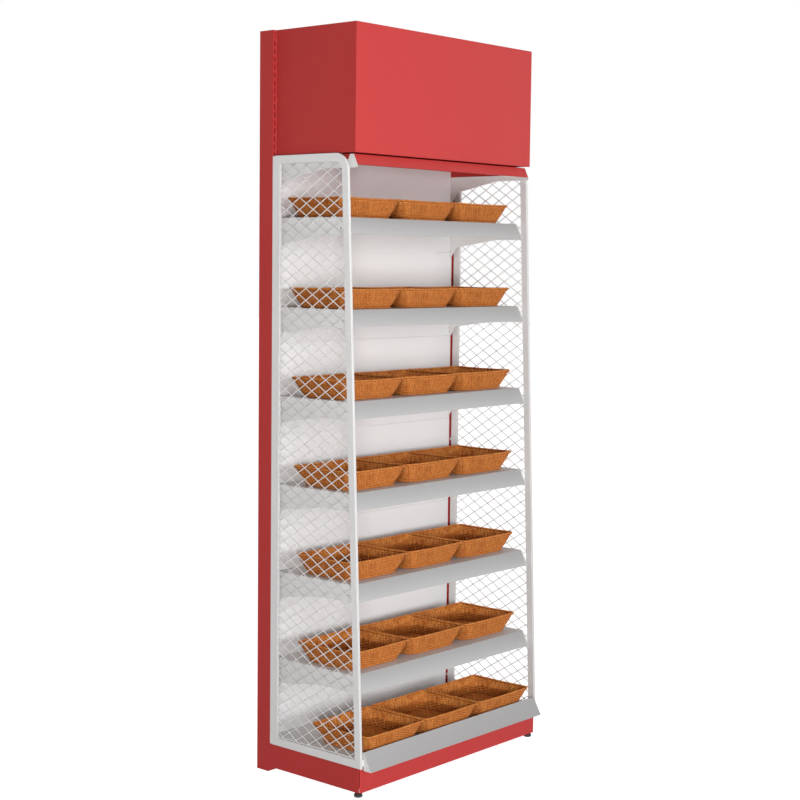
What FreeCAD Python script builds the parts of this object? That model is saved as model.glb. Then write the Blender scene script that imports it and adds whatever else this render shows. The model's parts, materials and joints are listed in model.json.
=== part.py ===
import FreeCAD, Part
import math
import os
import re
import Sketcher

# Bakery bread rack: a slotted-post wall gondola with a header box, a canopy shelf, six hanging
# shelves, a base shelf, two wire side panels and three wicker baskets on each level.
# Millimetres; +Z is up, the front faces -Y, and the origin is the middle of the footprint on the floor.

# ---------------------------------------------------------------------------- driving sizes
SIZES = {
    "rack_width": 920,
    "rack_height": 2400,
    "fit_gap": 0.3,
    # slotted posts
    "post_width": 30,
    "post_depth": 60,
    "post_wall": 2,
    "post_toe": 8,
    "post_parts": 5,
    "cap_sheet": 2,
    "cap_plug": 18,
    "cap_wall": 2,
    "slot_pitch": 25,
    "slot_length": 15,
    "slot_width": 4,
    "slot_edge": 7.5,
    "first_slot": 16,
    "last_slot": 30,
    # hooks that hang in the slots
    "hook_sheet": 2.5,
    "hook_neck": 9,
    "hook_tail": 5,
    # base legs, levellers and plinth
    "leg_length": 400,
    "leg_height": 77,
    "leg_clear": 17,
    "leg_wall": 2,
    "leg_corner": 12,
    "plinth_inset": 14,
    "plinth_sheet": 1.5,
    "plinth_flange": 14,
    "nut_plate": 4,
    "nut_rise": 12,
    "leveller_inset": 20,
    "stem_radius": 5,
    "stem_length": 56,
    "stem_play": 0.05,
    "foot_radius": 13.5,
    "foot_height": 13,
    "foot_floor": 5,
    # back panels and cross rails
    "panel_sheet": 1.2,
    "panel_slots": 12,
    "panel_flange": 12,
    "panel_drop": 90,
    "seam": 0.6,
    "rail_height": 40,
    "rail_depth": 20,
    "rail_wall": 1.5,
    "rail_setback": 22,
    "rail_low": 150,
    "rail_drop": 45,
    # shelves
    "shelf_count": 6,
    "low_bay": 257,
    "top_bay": 192,
    "deck_rise": 2,
    "shelf_sheet": 1.5,
    "shelf_side_gap": 0.45,
    "rear_flange": 25,
    "end_flange": 30,
    "lip_run": 27,
    "lip_drop": 52,
    "lip_return": 10,
    "lip_setback": 13,
    # shelf brackets
    "bracket_root": 82,
    "bracket_heel": 123,
    "heel_run": 28,
    "bracket_tip": 56,
    "bracket_knee": 205,
    "bracket_nose": 3,
    "bracket_bend": 160,
    "bracket_corner": 6,
    "ledge_width": 9,
    "ledge_inset": 24,
    "peep_radius": 4.5,
    "peep_back": 43,
    "peep_drop": 34,
    # base shelf
    "base_rise": 29,
    "base_lip_rise": 23,
    "base_drop": 58,
    "base_overhang": 35,
    "base_lip_inset": 13,
    "base_lip_wall": 1.7,
    # canopy shelf
    "canopy_gap": 4.5,
    "canopy_depth": 330,
    "canopy_run": 15,
    "canopy_drop": 32,
    "canopy_flange": 24,
    "canopy_rear": 4,
    "canopy_root": 79,
    "canopy_tip": 42,
    "canopy_nose": -1,
    "canopy_nose_width": 14,
    "canopy_step": 16,
    "canopy_hook_drop": 12,
    # header box
    "header_top_gap": 0,
    "header_height": 393.5,
    "header_depth": 343.5,
    "header_inset": 14,
    "header_sheet": 1.5,
    "header_flange": 15,
    "header_soffit": 90,
    # side panels of tube and wire
    "frame_top_gap": 1,
    "frame_width": 10,
    "frame_depth": 26,
    "frame_wall": 1.5,
    "frame_top_depth": 324,
    "frame_overhang": 3.2,
    "frame_corner": 55,
    "frame_standoff": 7,
    "frame_edge": 2,
    "strip_sheet": 2,
    "wire_radius": 1.5,
    "diamond_width": 59.6,
    "diamond_height": 37.9,
    "diamond_back": 145.5,
    "diamond_drop": 151.7,
    # baskets
    "basket_width": 283,
    "basket_depth": 252,
    "basket_height": 65,
    "basket_flare": 25,
    "basket_wall": 5,
    "basket_gap": 1,
    "basket_setback": 19.5,
    "base_basket_setback": 2.5,
    "basket_corner": 22,
    "rim_height": 9,
    "rim_overhang": 2,
}

# ---------------------------------------------------------------------------- worked-out places
PLACES = {
    "half_width": "rack_width / 2",
    "post_inner": "half_width - post_width",
    "post_middle": "half_width - post_width / 2",
    "outer_slot": "half_width - slot_edge",
    "inner_slot": "post_inner + slot_edge",
    "rear_y": "(post_depth + leg_length + base_overhang) / 2",
    "post_front": "rear_y - post_depth",
    "post_back_of_wall": "post_front + post_wall + fit_gap",
    "plug_inset": "post_wall + stem_play",
    "panel_front": "post_front - panel_sheet",
    "rack_face": "panel_front - fit_gap",
    "leg_front": "post_front - leg_length",
    "leg_top": "leg_clear + leg_height",
    "leveller_x": "post_middle",
    "leveller_y": "leg_front + leveller_inset",
    "plate_low": "leg_clear + nut_rise",
    "stem_low": "foot_floor + fit_gap",
    "post_top": "rack_height - cap_sheet",
    "top_slot": "rack_height - first_slot",
    "slot_count": "floor((top_slot - last_slot) / slot_pitch) + 1",
    "low_slot": "top_slot - (slot_count - 1) * slot_pitch",
    "leg_slot_high": "low_slot + ceil((leg_top - slot_length - low_slot) / slot_pitch - 1) * slot_pitch",
    "header_high": "rack_height - header_top_gap",
    "header_low": "header_high - header_height",
    "header_front": "post_front - header_depth",
    "header_side": "half_width - header_inset",
    "header_slot_high": "top_slot - slot_pitch",
    "header_slot_low": "top_slot - floor((top_slot - header_low - 2 * slot_pitch) / slot_pitch) * slot_pitch",
    "canopy_deck": "header_low - canopy_gap",
    "canopy_crease": "post_front - canopy_depth",
    "canopy_lip": "canopy_crease - canopy_run",
    "canopy_lip_z": "canopy_deck - canopy_drop",
    "canopy_slot": "top_slot - ceil((top_slot - canopy_deck + canopy_hook_drop) / slot_pitch) * slot_pitch",
    "base_deck": "leg_top + base_rise",
    "base_crest": "base_deck + base_lip_rise",
    "base_lip": "leg_front - base_overhang",
    "base_lip_z": "base_crest - base_drop",
    "first_target": "base_deck + low_bay",
    "shelf_pitch": "(canopy_deck - top_bay - first_target) / (shelf_count - 1)",
    "frame_high": "header_low - frame_top_gap",
    "frame_rear": "post_front - frame_standoff",
    "frame_inner": "half_width - frame_width",
    "tube_outside": "0",
    "tube_inside": "frame_depth",
    "bore_outside": "frame_wall",
    "bore_inside": "frame_depth - frame_wall",
    "frame_top_front": "post_front - frame_top_depth",
    "frame_low_front": "leg_front - frame_overhang",
    "frame_lean": "(frame_top_front - frame_low_front) / (frame_high - leg_top)",
    "frame_at_crest": "frame_low_front + frame_lean * (base_crest - leg_top)",
    "base_crease": "frame_at_crest - fit_gap - base_lip_wall",
    "frame_slot_low": "low_slot + ceil((leg_top - low_slot) / slot_pitch + 2) * slot_pitch",
    "frame_slot_high": "top_slot - ceil((top_slot - frame_high) / slot_pitch + 2) * slot_pitch",
    "frame_slot_mid": "frame_slot_low + floor((frame_slot_high - frame_slot_low) / slot_pitch / 2) * slot_pitch",
    "bracket_outer": "inner_slot + hook_sheet / 2",
    "bracket_inner": "inner_slot - hook_sheet / 2",
    "shelf_end": "bracket_inner - shelf_side_gap",
    "panel_end": "post_middle - fit_gap",
    "panel_height": "panel_slots * slot_pitch",
    "panel_high": "rack_height - panel_drop",
    "panel_count": "floor((panel_high - leg_top) / panel_height)",
    "panel_base": "panel_high - panel_count * panel_height",
}

SHELVES = range(1, SIZES["shelf_count"] + 1)
for level in SHELVES:
    deck = f"deck_{level}"
    PLACES[deck] = f"first_target + {SIZES['shelf_count'] - level} * shelf_pitch"
    PLACES[f"slot_{level}"] = f"top_slot - ceil((top_slot + deck_rise - {deck}) / slot_pitch) * slot_pitch"
    PLACES[f"lip_z_{level}"] = f"deck_{level} - lip_drop"
    PLACES[f"lip_y_{level}"] = f"frame_top_front - frame_lean * (frame_high - lip_z_{level}) + lip_setback"
    PLACES[f"crease_{level}"] = f"lip_y_{level} + lip_run"

doc = FreeCAD.newDocument("BakeryBreadRack")


def ref(text):
    """Point the bare names in an expression at the sheets that hold them."""
    def owner(match):
        name = match.group(0)
        if name in SIZES:
            return "Sizes." + name
        if name in PLACES:
            return "Places." + name
        return name
    return re.sub(r"[a-z][a-z_0-9]*", owner, str(text))


def fill_sheet(label, rows):
    sheet = doc.addObject("Spreadsheet::Sheet", label)
    for row, (name, content) in enumerate(rows.items(), 1):
        sheet.set(f"A{row}", name)
        sheet.set(f"B{row}", content)
        sheet.setAlias(f"B{row}", name)
    return sheet


sizes = fill_sheet("Sizes", {name: str(value) for name, value in SIZES.items()})
places = fill_sheet("Places", {name: "=" + ref(formula) for name, formula in PLACES.items()})
doc.recompute()


def size_of(name):
    """The number that a sheet holds under this name."""
    return float((sizes if name in SIZES else places).get(name))


# ---------------------------------------------------------------------------- building blocks
PARTS = []


def keep(feature, label):
    """Name a finished sub-part; its label is the name of its file."""
    feature.Label = label
    PARTS.append(feature)
    return feature


def new_body(name):
    return doc.addObject("PartDesign::Body", name)


def new_sketch(body, plane, shift="0"):
    """An empty sketch on one of the body's own planes, moved along the plane's normal."""
    sketch = body.newObject("Sketcher::SketchObject", body.Name + "_outline")
    support = next(f for f in body.Origin.OriginFeatures if f.Role == plane + "_Plane")
    sketch.AttachmentSupport = (support, [""])
    sketch.MapMode = "FlatFace"
    sketch.setExpression("AttachmentOffset.Base.z", ref(shift))
    return sketch


def bind_point(sketch, edge, corner, across, up):
    for kind, text in (("DistanceX", across), ("DistanceY", up)):
        index = sketch.addConstraint(Sketcher.Constraint(kind, -1, 1, edge, corner, 1.0))
        sketch.setExpression(f"Constraints[{index}]", ref(text))


def draw(sketch, *loops):
    """Closed straight-sided outlines whose corners are all bound to the sheets."""
    for corners in loops:
        first = sketch.GeometryCount
        count = len(corners)
        ring = [FreeCAD.Vector(math.cos(2 * math.pi * i / count), math.sin(2 * math.pi * i / count), 0)
                for i in range(count)]
        edges = [Part.LineSegment(ring[i], ring[(i + 1) % count]) for i in range(count)]
        sketch.addGeometry(edges, False)
        for i in range(count):
            following = first + (i + 1) % count
            sketch.addConstraint(Sketcher.Constraint("Coincident", first + i, 2, following, 1))
        for i, (across, up) in enumerate(corners):
            bind_point(sketch, first + i, 1, across, up)
    return sketch


def rectangle(left, right, low, high):
    return [(left, low), (right, low), (right, high), (left, high)]


def pad(body, sketch, length, both_ways=False):
    feature = body.newObject("PartDesign::Pad", body.Name + "_pad")
    feature.Profile = sketch
    feature.setExpression("Length", ref(length))
    if both_ways:
        feature.SideType = "Symmetric"
    return feature


def plate(body, loops, from_x, thickness):
    """Outlines in the side view, given thickness towards +X from the plane at from_x."""
    return pad(body, draw(new_sketch(body, "YZ", from_x), *loops), thickness)


def cut(body, sketch, length=None, both_ways=False):
    """Pocket along the sketch's normal, against it, or right through both ways."""
    feature = body.newObject("PartDesign::Pocket", body.Name + "_cut")
    feature.Profile = sketch
    if length is None:
        feature.Type = "ThroughAll"
    else:
        feature.setExpression("Length", ref(length))
    if both_ways:
        feature.SideType = "Symmetric"
    return feature


def round_hole(body, plane, across, up, radius):
    """A hole right through the body, square to the given plane."""
    sketch = new_sketch(body, plane)
    sketch.addGeometry(Part.Circle(FreeCAD.Vector(1, 1, 0), FreeCAD.Vector(0, 0, 1), 1.0), False)
    bind_point(sketch, 0, 3, across, up)
    index = sketch.addConstraint(Sketcher.Constraint("Radius", 0, 1.0))
    sketch.setExpression(f"Constraints[{index}]", ref(radius))
    return cut(body, sketch, both_ways=True)


def round_edges(body, radius, chosen):
    """Fillet the edges of the body so far that the test picks out."""
    doc.recompute()
    base = body.Tip
    names = [f"Edge{i}" for i, edge in enumerate(base.Shape.Edges, 1) if chosen(edge)]
    feature = body.newObject("PartDesign::Fillet", body.Name + "_round")
    feature.Base = (base, names)
    feature.setExpression("Radius", ref(radius))
    return feature


def along(edge, axis):
    """Whether a straight edge runs along the named axis."""
    if not isinstance(edge.Curve, Part.Line):
        return False
    return abs(getattr(edge.Curve.Direction, axis)) > 0.999


def at(edge, axis, name, reach=0.01):
    """Whether an edge's middle lies at the named size along an axis."""
    return abs(getattr(edge.CenterOfMass, axis) - name) < reach


def block(name, corner, extent):
    """A plain box whose corner and extent are bound to the sheets."""
    box = doc.addObject("Part::Box", name)
    for prop, text in zip(("Length", "Width", "Height"), extent):
        box.setExpression(prop, ref(text))
    for axis, text in zip("xyz", corner):
        box.setExpression(f"Placement.Base.{axis}", ref(text))
    return box


def mirrored(source, label):
    """The right-hand copy of a left-hand piece."""
    copy = doc.addObject("Part::Mirroring", label)
    copy.Source = source
    copy.Base = FreeCAD.Vector(0, 0, 0)
    copy.Normal = FreeCAD.Vector(1, 0, 0)
    return copy


def group(label, members):
    compound = doc.addObject("Part::Compound", label)
    compound.Links = members
    return keep(compound, label)


def subtract(name, base, tool):
    feature = doc.addObject("Part::Cut", name)
    feature.Base = base
    feature.Tool = tool
    return feature


# ---------------------------------------------------------------------------- hooks
USED_SLOTS = []


def hook(slot, start="rack_face"):
    """One hook: a neck that rests on the slot's lower edge and a tail that drops behind the wall."""
    rest = f"{slot} - slot_length / 2"
    tip = "post_back_of_wall + hook_sheet"
    return [(start, rest), ("post_back_of_wall", rest), ("post_back_of_wall", f"{rest} - hook_tail"),
            (tip, f"{rest} - hook_tail"), (tip, f"{rest} + hook_neck"), (start, f"{rest} + hook_neck")]


def hooks_on(body, slots, column, start):
    """Hooks centred on a slot column of the left post, grown out of a piece that reaches past start."""
    plate(body, [hook(slot, start) for slot in slots], f"-({column}) - hook_sheet / 2", "hook_sheet")


# ---------------------------------------------------------------------------- posts
def make_uprights():
    """Square-cornered tube with two columns of hook slots down its front face."""
    body = new_body("upright_left_body")
    outer = rectangle("-half_width", "-post_inner", "post_front", "rear_y")
    inner = rectangle("-half_width + post_wall", "-post_inner - post_wall",
                      "post_front + post_wall", "rear_y - post_wall")
    joints = [f"low_slot - slot_pitch / 2 + {part} * ceil(slot_count / post_parts) * slot_pitch"
              for part in range(1, SIZES["post_parts"])]
    levels = ["0"] + joints + ["post_top"]
    for low, high in zip(levels, levels[1:]):
        length = pad(body, draw(new_sketch(body, "XY", low), outer, inner), f"{high} - ({low})")
        length.Refine = False
    slots = [rectangle(f"-({column}) - slot_width / 2", f"-({column}) + slot_width / 2",
                       "top_slot - slot_length / 2", "top_slot + slot_length / 2")
             for column in ("outer_slot", "inner_slot")]
    pocket = cut(body, draw(new_sketch(body, "XZ", "-post_front"), *slots), "post_wall")
    pocket.Refine = False
    pattern = body.newObject("PartDesign::LinearPattern", "slot_column")
    pattern.Originals = [pocket]
    pattern.Direction = (next(f for f in body.Origin.OriginFeatures if f.Role == "Z_Axis"), [""])
    pattern.Reversed = True
    pattern.Refine = False
    pattern.setExpression("Length", ref("(slot_count - 1) * slot_pitch"))
    pattern.setExpression("Occurrences", ref("slot_count"))
    body.Tip = pattern
    toe = [("post_front", "0"), ("post_front + post_toe", "0"), ("post_front", "post_toe / 2")]
    chamfer = cut(body, draw(new_sketch(body, "YZ"), toe), both_ways=True)
    chamfer.Refine = False
    keep(body, "upright_left")
    keep(mirrored(body, "upright_right_body"), "upright_right")


def make_upright_caps():
    """Moulded cap on each post: a flat top with a plug that fills the tube's mouth."""
    body = new_body("cap_body")
    top = rectangle("-half_width", "-post_inner", "post_front", "rear_y")
    plug = rectangle("-half_width + plug_inset", "-post_inner - plug_inset",
                     "post_front + plug_inset", "rear_y - plug_inset")
    hollow = rectangle("-half_width + plug_inset + cap_wall", "-post_inner - plug_inset - cap_wall",
                       "post_front + plug_inset + cap_wall", "rear_y - plug_inset - cap_wall")
    pad(body, draw(new_sketch(body, "XY", "post_top"), top), "cap_sheet")
    pad(body, draw(new_sketch(body, "XY", "post_top - cap_plug"), plug, hollow), "cap_plug")
    group("upright_caps", [body, mirrored(body, "cap_right")])


# ---------------------------------------------------------------------------- base
def make_legs():
    """Folded box leg, open below, hooked to the post and rounded at its outer front corner."""
    body = new_body("leg_body")
    recess = "leg_front + plinth_sheet + fit_gap"
    step = "-half_width + plinth_inset"
    outer = [("-half_width", "post_front"), ("-half_width", "leg_front"), (step, "leg_front"),
             (step, recess), ("-post_inner", recess), ("-post_inner", "post_front")]
    inner = rectangle("-half_width + leg_wall", "-post_inner - leg_wall",
                      f"{recess} + leg_wall", "post_front - leg_wall")
    pad(body, draw(new_sketch(body, "XY", "leg_clear"), outer), "leg_height")
    round_edges(body, "leg_corner", lambda e: along(e, "z") and at(e, "x", -size_of("half_width"))
                and at(e, "y", size_of("leg_front")))
    hollow = draw(new_sketch(body, "XY", "leg_top - leg_wall"), inner)
    cut(body, hollow, "leg_height - leg_wall")
    nut = rectangle("-half_width + leg_wall / 2", "-post_inner - leg_wall / 2",
                    "leveller_y - 2 * stem_radius", "leveller_y + 2 * stem_radius")
    pad(body, draw(new_sketch(body, "XY", "plate_low"), nut), "nut_plate")
    sketch = new_sketch(body, "XY", "leg_top - leg_wall")
    sketch.addGeometry(Part.Circle(FreeCAD.Vector(1, 1, 0), FreeCAD.Vector(0, 0, 1), 1.0), False)
    bind_point(sketch, 0, 3, "-leveller_x", "leveller_y")
    index = sketch.addConstraint(Sketcher.Constraint("Radius", 0, 1.0))
    sketch.setExpression(f"Constraints[{index}]", ref("stem_radius + stem_play"))
    cut(body, sketch, "leg_height")
    for column in ("outer_slot", "inner_slot"):
        hooks_on(body, ["low_slot", "leg_slot_high"], column, "post_front - leg_wall / 2")
    keep(body, "base_leg_left")
    keep(mirrored(body, "leg_right"), "base_leg_right")


def make_levellers():
    """Threaded stem in the leg's nut plate, with a foot that turns on its end."""
    stem = doc.addObject("Part::Cylinder", "stem")
    stem.setExpression("Radius", ref("stem_radius"))
    stem.setExpression("Height", ref("stem_length"))
    for axis, text in zip("xyz", ("-leveller_x", "leveller_y", "stem_low")):
        stem.setExpression(f"Placement.Base.{axis}", ref(text))
    foot = new_body("foot_body")
    bevel = "stem_radius / 3"
    bore = "stem_radius + stem_play"
    outline = [("0", "0"), (f"foot_radius - {bevel}", "0"), ("foot_radius", bevel),
               ("foot_radius", "foot_height * 0.6"), ("foot_radius * 0.7", "foot_height"),
               (bore, "foot_height"), (bore, "foot_floor"), ("0", "foot_floor")]
    turned = foot.newObject("PartDesign::Revolution", "foot_turned")
    turned.Profile = draw(new_sketch(foot, "XZ"), outline)
    turned.ReferenceAxis = (turned.Profile[0], ["V_Axis"])
    turned.Angle = 360
    foot.setExpression("Placement.Base.x", ref("-leveller_x"))
    foot.setExpression("Placement.Base.y", ref("leveller_y"))
    keep(stem, "leveller_stem_left")
    keep(foot, "leveller_foot_left")
    keep(mirrored(stem, "stem_right"), "leveller_stem_right")
    keep(mirrored(foot, "foot_right"), "leveller_foot_right")


def make_plinth():
    """Front kick plate between the legs, a channel with its flanges turned back."""
    body = new_body("plinth_body")
    back = "leg_front + plinth_sheet"
    face = [rectangle("leg_front", back, "leg_clear", "leg_top")]
    plate(body, face, "-half_width + plinth_inset + fit_gap",
          "2 * (half_width - plinth_inset - fit_gap)")
    flanges = [rectangle("leg_front + plinth_sheet / 2", "leg_front + plinth_flange",
                         "leg_clear", "leg_clear + plinth_sheet"),
               rectangle("leg_front + plinth_sheet / 2", "leg_front + plinth_flange",
                         "leg_top - plinth_sheet", "leg_top")]
    plate(body, flanges, "-post_inner + fit_gap", "2 * (post_inner - fit_gap)")
    keep(body, "plinth")


# ---------------------------------------------------------------------------- back
def make_back():
    """Hooked-on back panels, a filler above and below them, and the rails that tie the posts."""
    windows = []
    for slot in USED_SLOTS:
        for side in ("-inner_slot", "inner_slot"):
            windows.append(block("window", (f"{side} - hook_sheet", "panel_front - fit_gap",
                                            f"{slot} - slot_length / 2 - hook_tail"),
                                 ("2 * hook_sheet", "panel_sheet + 2 * fit_gap", "slot_length + hook_tail")))
    openings = doc.addObject("Part::Compound", "hook_windows")
    openings.Links = windows
    sheets = []
    for index in range(int(size_of("panel_count"))):
        low = f"panel_base + {index} * panel_height"
        sheets.append(back_panel(f"panel_{index}", low, "panel_height - seam"))
    stack = doc.addObject("Part::Compound", "panel_stack")
    stack.Links = sheets
    keep(subtract("panels_cut", stack, openings), "back_panels")
    low_filler = back_panel("low_filler", "leg_top + fit_gap", "panel_base - leg_top - fit_gap - seam")
    keep(subtract("low_filler_cut", low_filler, openings), "back_panel_low")
    top_filler = back_panel("top_filler", "panel_high", "post_top - panel_high")
    keep(subtract("top_filler_cut", top_filler, openings), "back_panel_top")


def back_panel(name, low, height):
    """A sheet in front of the posts with its long edges folded back between them."""
    sheet = block(name + "_sheet", ("-panel_end", "panel_front", low), ("2 * panel_end", "panel_sheet", height))
    folds = [block(name + "_fold", ("-post_inner + fit_gap", "panel_front", edge),
                   ("2 * (post_inner - fit_gap)", "panel_flange", "panel_sheet"))
             for edge in (low, f"{low} + {height} - panel_sheet")]
    panel = doc.addObject("Part::MultiFuse", name)
    panel.Shapes = [sheet] + folds
    return panel


def make_cross_rails():
    """Box rails between the posts, low, halfway up and near the top."""
    rails = []
    for index, low in enumerate(("rail_low", "rack_height / 2", "rack_height - rail_drop - rail_height")):
        length = "2 * post_inner"
        outer = block(f"rail_{index}", ("-post_inner", "rear_y - rail_setback - rail_depth", low),
                      (length, "rail_depth", "rail_height"))
        bore = block(f"rail_{index}_bore",
                     ("-post_inner", "rear_y - rail_setback - rail_depth + rail_wall", f"{low} + rail_wall"),
                     (length, "rail_depth - 2 * rail_wall", "rail_height - 2 * rail_wall"))
        rails.append(subtract(f"rail_{index}_tube", outer, bore))
    group("cross_rails", rails)


# ---------------------------------------------------------------------------- shelves
def tray_profile(deck, crease, lip_y, lip_z, rear):
    """Bent sheet seen from the side: rear flange, deck, sloping front lip and its return."""
    slope = f"({crease} - ({lip_y})) / ({deck} - ({lip_z}))"
    across = f"shelf_sheet * sqrt(1 + ({slope}) ^ 2)"
    under = f"{deck} - shelf_sheet"
    return [("rack_face", f"{deck} - {rear}"), ("rack_face", deck), (crease, deck), (lip_y, lip_z),
            (f"{lip_y} + lip_return", lip_z), (f"{lip_y} + lip_return", f"{lip_z} + shelf_sheet"),
            (f"{lip_y} + {slope} * shelf_sheet + {across}", f"{lip_z} + shelf_sheet"),
            (f"{crease} - {slope} * shelf_sheet + {across}", under),
            ("rack_face - shelf_sheet", under), ("rack_face - shelf_sheet", f"{deck} - {rear}")]


def tray_end(deck, crease, lip_y, lip_z, flange):
    """Outline of the flange that closes one end of a tray."""
    return [("rack_face", f"{deck} - {flange}"), ("rack_face", f"{deck} - shelf_sheet / 2"),
            (f"{crease} + shelf_sheet / 2", f"{deck} - shelf_sheet / 2"),
            (f"{lip_y} + shelf_sheet", f"{lip_z} + shelf_sheet / 2"),
            (f"{lip_y} + lip_return", f"{lip_z} + shelf_sheet / 2"),
            (f"{lip_y} + lip_return + {deck} - {flange} - {lip_z}", f"{deck} - {flange}")]


def make_tray(name, deck, crease, lip_y, lip_z, flange, rear):
    """A shelf that sits between two brackets, closed by a flange at each end."""
    body = new_body(name + "_body")
    plate(body, [tray_profile(deck, crease, lip_y, lip_z, rear)], "-shelf_end", "2 * shelf_end")
    end = tray_end(deck, crease, lip_y, lip_z, flange)
    plate(body, [end], "-shelf_end", "shelf_sheet")
    plate(body, [end], "shelf_end - shelf_sheet", "shelf_sheet")
    return keep(body, name)


def make_brackets(label, deck, slot, crease, lip_y, lip_z, root, tip, nose, flange, top, peep):
    """A pair of hooked side plates that follow the lip's slope, with a ledge that carries the tray."""
    body = new_body(label + "_body")
    slots = [f"({slot} - {step} * slot_pitch)" for step in (3, 1, 0)]
    reach = f"{crease} - {nose} - ({crease} - {lip_y}) * {tip} / ({deck} - {lip_z})"
    outline = top + [(f"{crease} - {nose}", deck), (reach, f"{deck} - {tip}"),
                     ("rack_face - bracket_knee", f"{deck} - {tip}"),
                     ("rack_face - heel_run", f"{deck} - {root}"), ("rack_face", f"{deck} - bracket_heel")]
    for place in slots:
        outline += hook(place)
    plate(body, [outline], "-bracket_outer", "hook_sheet")
    knee_y = size_of("rack_face") - size_of("bracket_knee")
    round_edges(body, "bracket_bend", lambda e: along(e, "x") and at(e, "y", knee_y))
    round_edges(body, "bracket_corner", lambda e: along(e, "x") and e.CenterOfMass.y < size_of(crease))
    ledge = rectangle(f"{crease} + ledge_inset", "rack_face - ledge_inset",
                      f"{deck} - {flange} - hook_sheet", f"{deck} - {flange}")
    plate(body, [ledge], "-bracket_inner - hook_sheet / 2", "ledge_width + hook_sheet / 2")
    if peep:
        round_hole(body, "YZ", f"{lip_y} + peep_back", f"{deck} - peep_drop", "peep_radius")
    USED_SLOTS.extend(slots)
    group(label, [body, mirrored(body, label + "_right")])


def make_shelves():
    for level in SHELVES:
        deck, crease = f"deck_{level}", f"crease_{level}"
        lip_y, lip_z = f"lip_y_{level}", f"lip_z_{level}"
        make_tray(f"shelf_{level}", deck, crease, lip_y, lip_z, "end_flange", "rear_flange")
        make_brackets(f"shelf_{level}_brackets", deck, f"slot_{level}", crease, lip_y, lip_z,
                      "bracket_root", "bracket_tip", "bracket_nose", "end_flange", [("rack_face", deck)], True)


def make_canopy():
    """The coloured top shelf under the header, on brackets whose top edge steps up only at the nose."""
    step_down = "canopy_deck - canopy_step"
    top = [("rack_face", step_down), ("canopy_crease + canopy_nose_width + canopy_step / 2", step_down),
           ("canopy_crease + canopy_nose_width", "canopy_deck")]
    make_tray("canopy_shelf", "canopy_deck", "canopy_crease", "canopy_lip", "canopy_lip_z",
              "canopy_flange", "canopy_rear")
    make_brackets("canopy_brackets", "canopy_deck", "canopy_slot", "canopy_crease", "canopy_lip",
                  "canopy_lip_z", "canopy_root", "canopy_tip", "canopy_nose", "canopy_flange", top, False)


def make_base_shelf():
    """Bottom shelf on the legs between the side panels; its raised lip runs wider, in front of them."""
    body = new_body("base_shelf_body")
    reach = "(frame_inner - fit_gap)"
    under = "base_deck - shelf_sheet"
    lip_back = "base_crease + base_lip_wall"
    riser = "base_crease + base_lip_wall / 2"
    tray = [("rack_face", "base_deck - rear_flange"), ("rack_face", "base_deck"),
            (f"{riser} + shelf_sheet", "base_deck"), (f"{riser} + shelf_sheet", "base_crest"),
            (riser, "base_crest"), (riser, under),
            ("rack_face - shelf_sheet", under), ("rack_face - shelf_sheet", "base_deck - rear_flange")]
    plate(body, [tray], f"-{reach}", f"2 * {reach}")
    lip = [("base_crease", "base_crest"), ("base_lip", "base_lip_z"),
           ("base_lip + base_lip_wall", "base_lip_z"), (lip_back, "base_crest")]
    plate(body, [lip], "-half_width + base_lip_inset", "2 * (half_width - base_lip_inset)")
    closed_to = "frame_low_front - fit_gap"
    closure = [("base_lip + base_lip_wall / 2", "base_lip_z"), (closed_to, "base_lip_z"),
               (closed_to, "base_crest - 2 * base_lip_wall")]
    plate(body, [closure], "-half_width + base_lip_inset", "shelf_sheet")
    plate(body, [closure], "half_width - base_lip_inset - shelf_sheet", "shelf_sheet")
    side = [rectangle("leg_front + plinth_flange + fit_gap", "rack_face", "leg_top", "base_deck - shelf_sheet / 2")]
    plate(body, side, f"-{reach}", "shelf_sheet")
    plate(body, side, f"{reach} - shelf_sheet", "shelf_sheet")
    keep(body, "base_shelf")


# ---------------------------------------------------------------------------- header
def make_header():
    """Open box above the shelves: a front sheet and two hooked side sheets, all with turned edges."""
    front = new_body("header_front_body")
    face_back = "header_front + header_sheet"
    face = [rectangle("header_front", face_back, "header_low", "header_high")]
    plate(front, face, "-header_side", "2 * header_side")
    turns = (("header_soffit", "header_low", "header_low + header_sheet"),
             ("header_flange", "header_high - header_sheet", "header_high"))
    turned = [rectangle("header_front + header_sheet / 2", f"header_front + {reach}", low, high)
              for reach, low, high in turns]
    inside = "header_side - header_sheet - fit_gap"
    plate(front, turned, f"-({inside})", f"2 * ({inside})")
    keep(front, "header_front")

    side = new_body("header_side_body")
    plate(side, [rectangle(face_back, "rack_face", "header_low", "header_high")], "-header_side", "header_sheet")
    edges = [rectangle(f"header_front + {reach} + fit_gap", "rack_face", low, high)
             for reach, low, high in turns]
    plate(side, edges, "-header_side + header_sheet / 2", "header_flange")
    rear = [rectangle("rack_face - header_sheet", "rack_face",
                      "header_low + header_sheet / 2", "header_high - header_sheet / 2")]
    plate(side, rear, "-header_side + header_sheet / 2", "header_side - inner_slot + hook_sheet")
    slots = ["header_slot_low", "header_slot_high"]
    hooks_on(side, slots, "inner_slot", "rack_face - header_sheet / 2")
    USED_SLOTS.extend(slots)
    keep(side, "header_side_left")
    keep(mirrored(side, "header_side_mirror"), "header_side_right")


# ---------------------------------------------------------------------------- side panels
def frame_outline(inset):
    """The side frame's outline, moved inwards by an inset: upright at the rear, leaning at the front."""
    lean = f"frame_lean * ({inset})"
    return [(f"frame_rear - ({inset})", f"leg_top + {inset}"),
            (f"frame_low_front + {inset} + {lean}", f"leg_top + {inset}"),
            (f"frame_top_front + {inset} - {lean}", f"frame_high - ({inset})"),
            (f"frame_rear - ({inset})", f"frame_high - ({inset})")]


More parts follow.
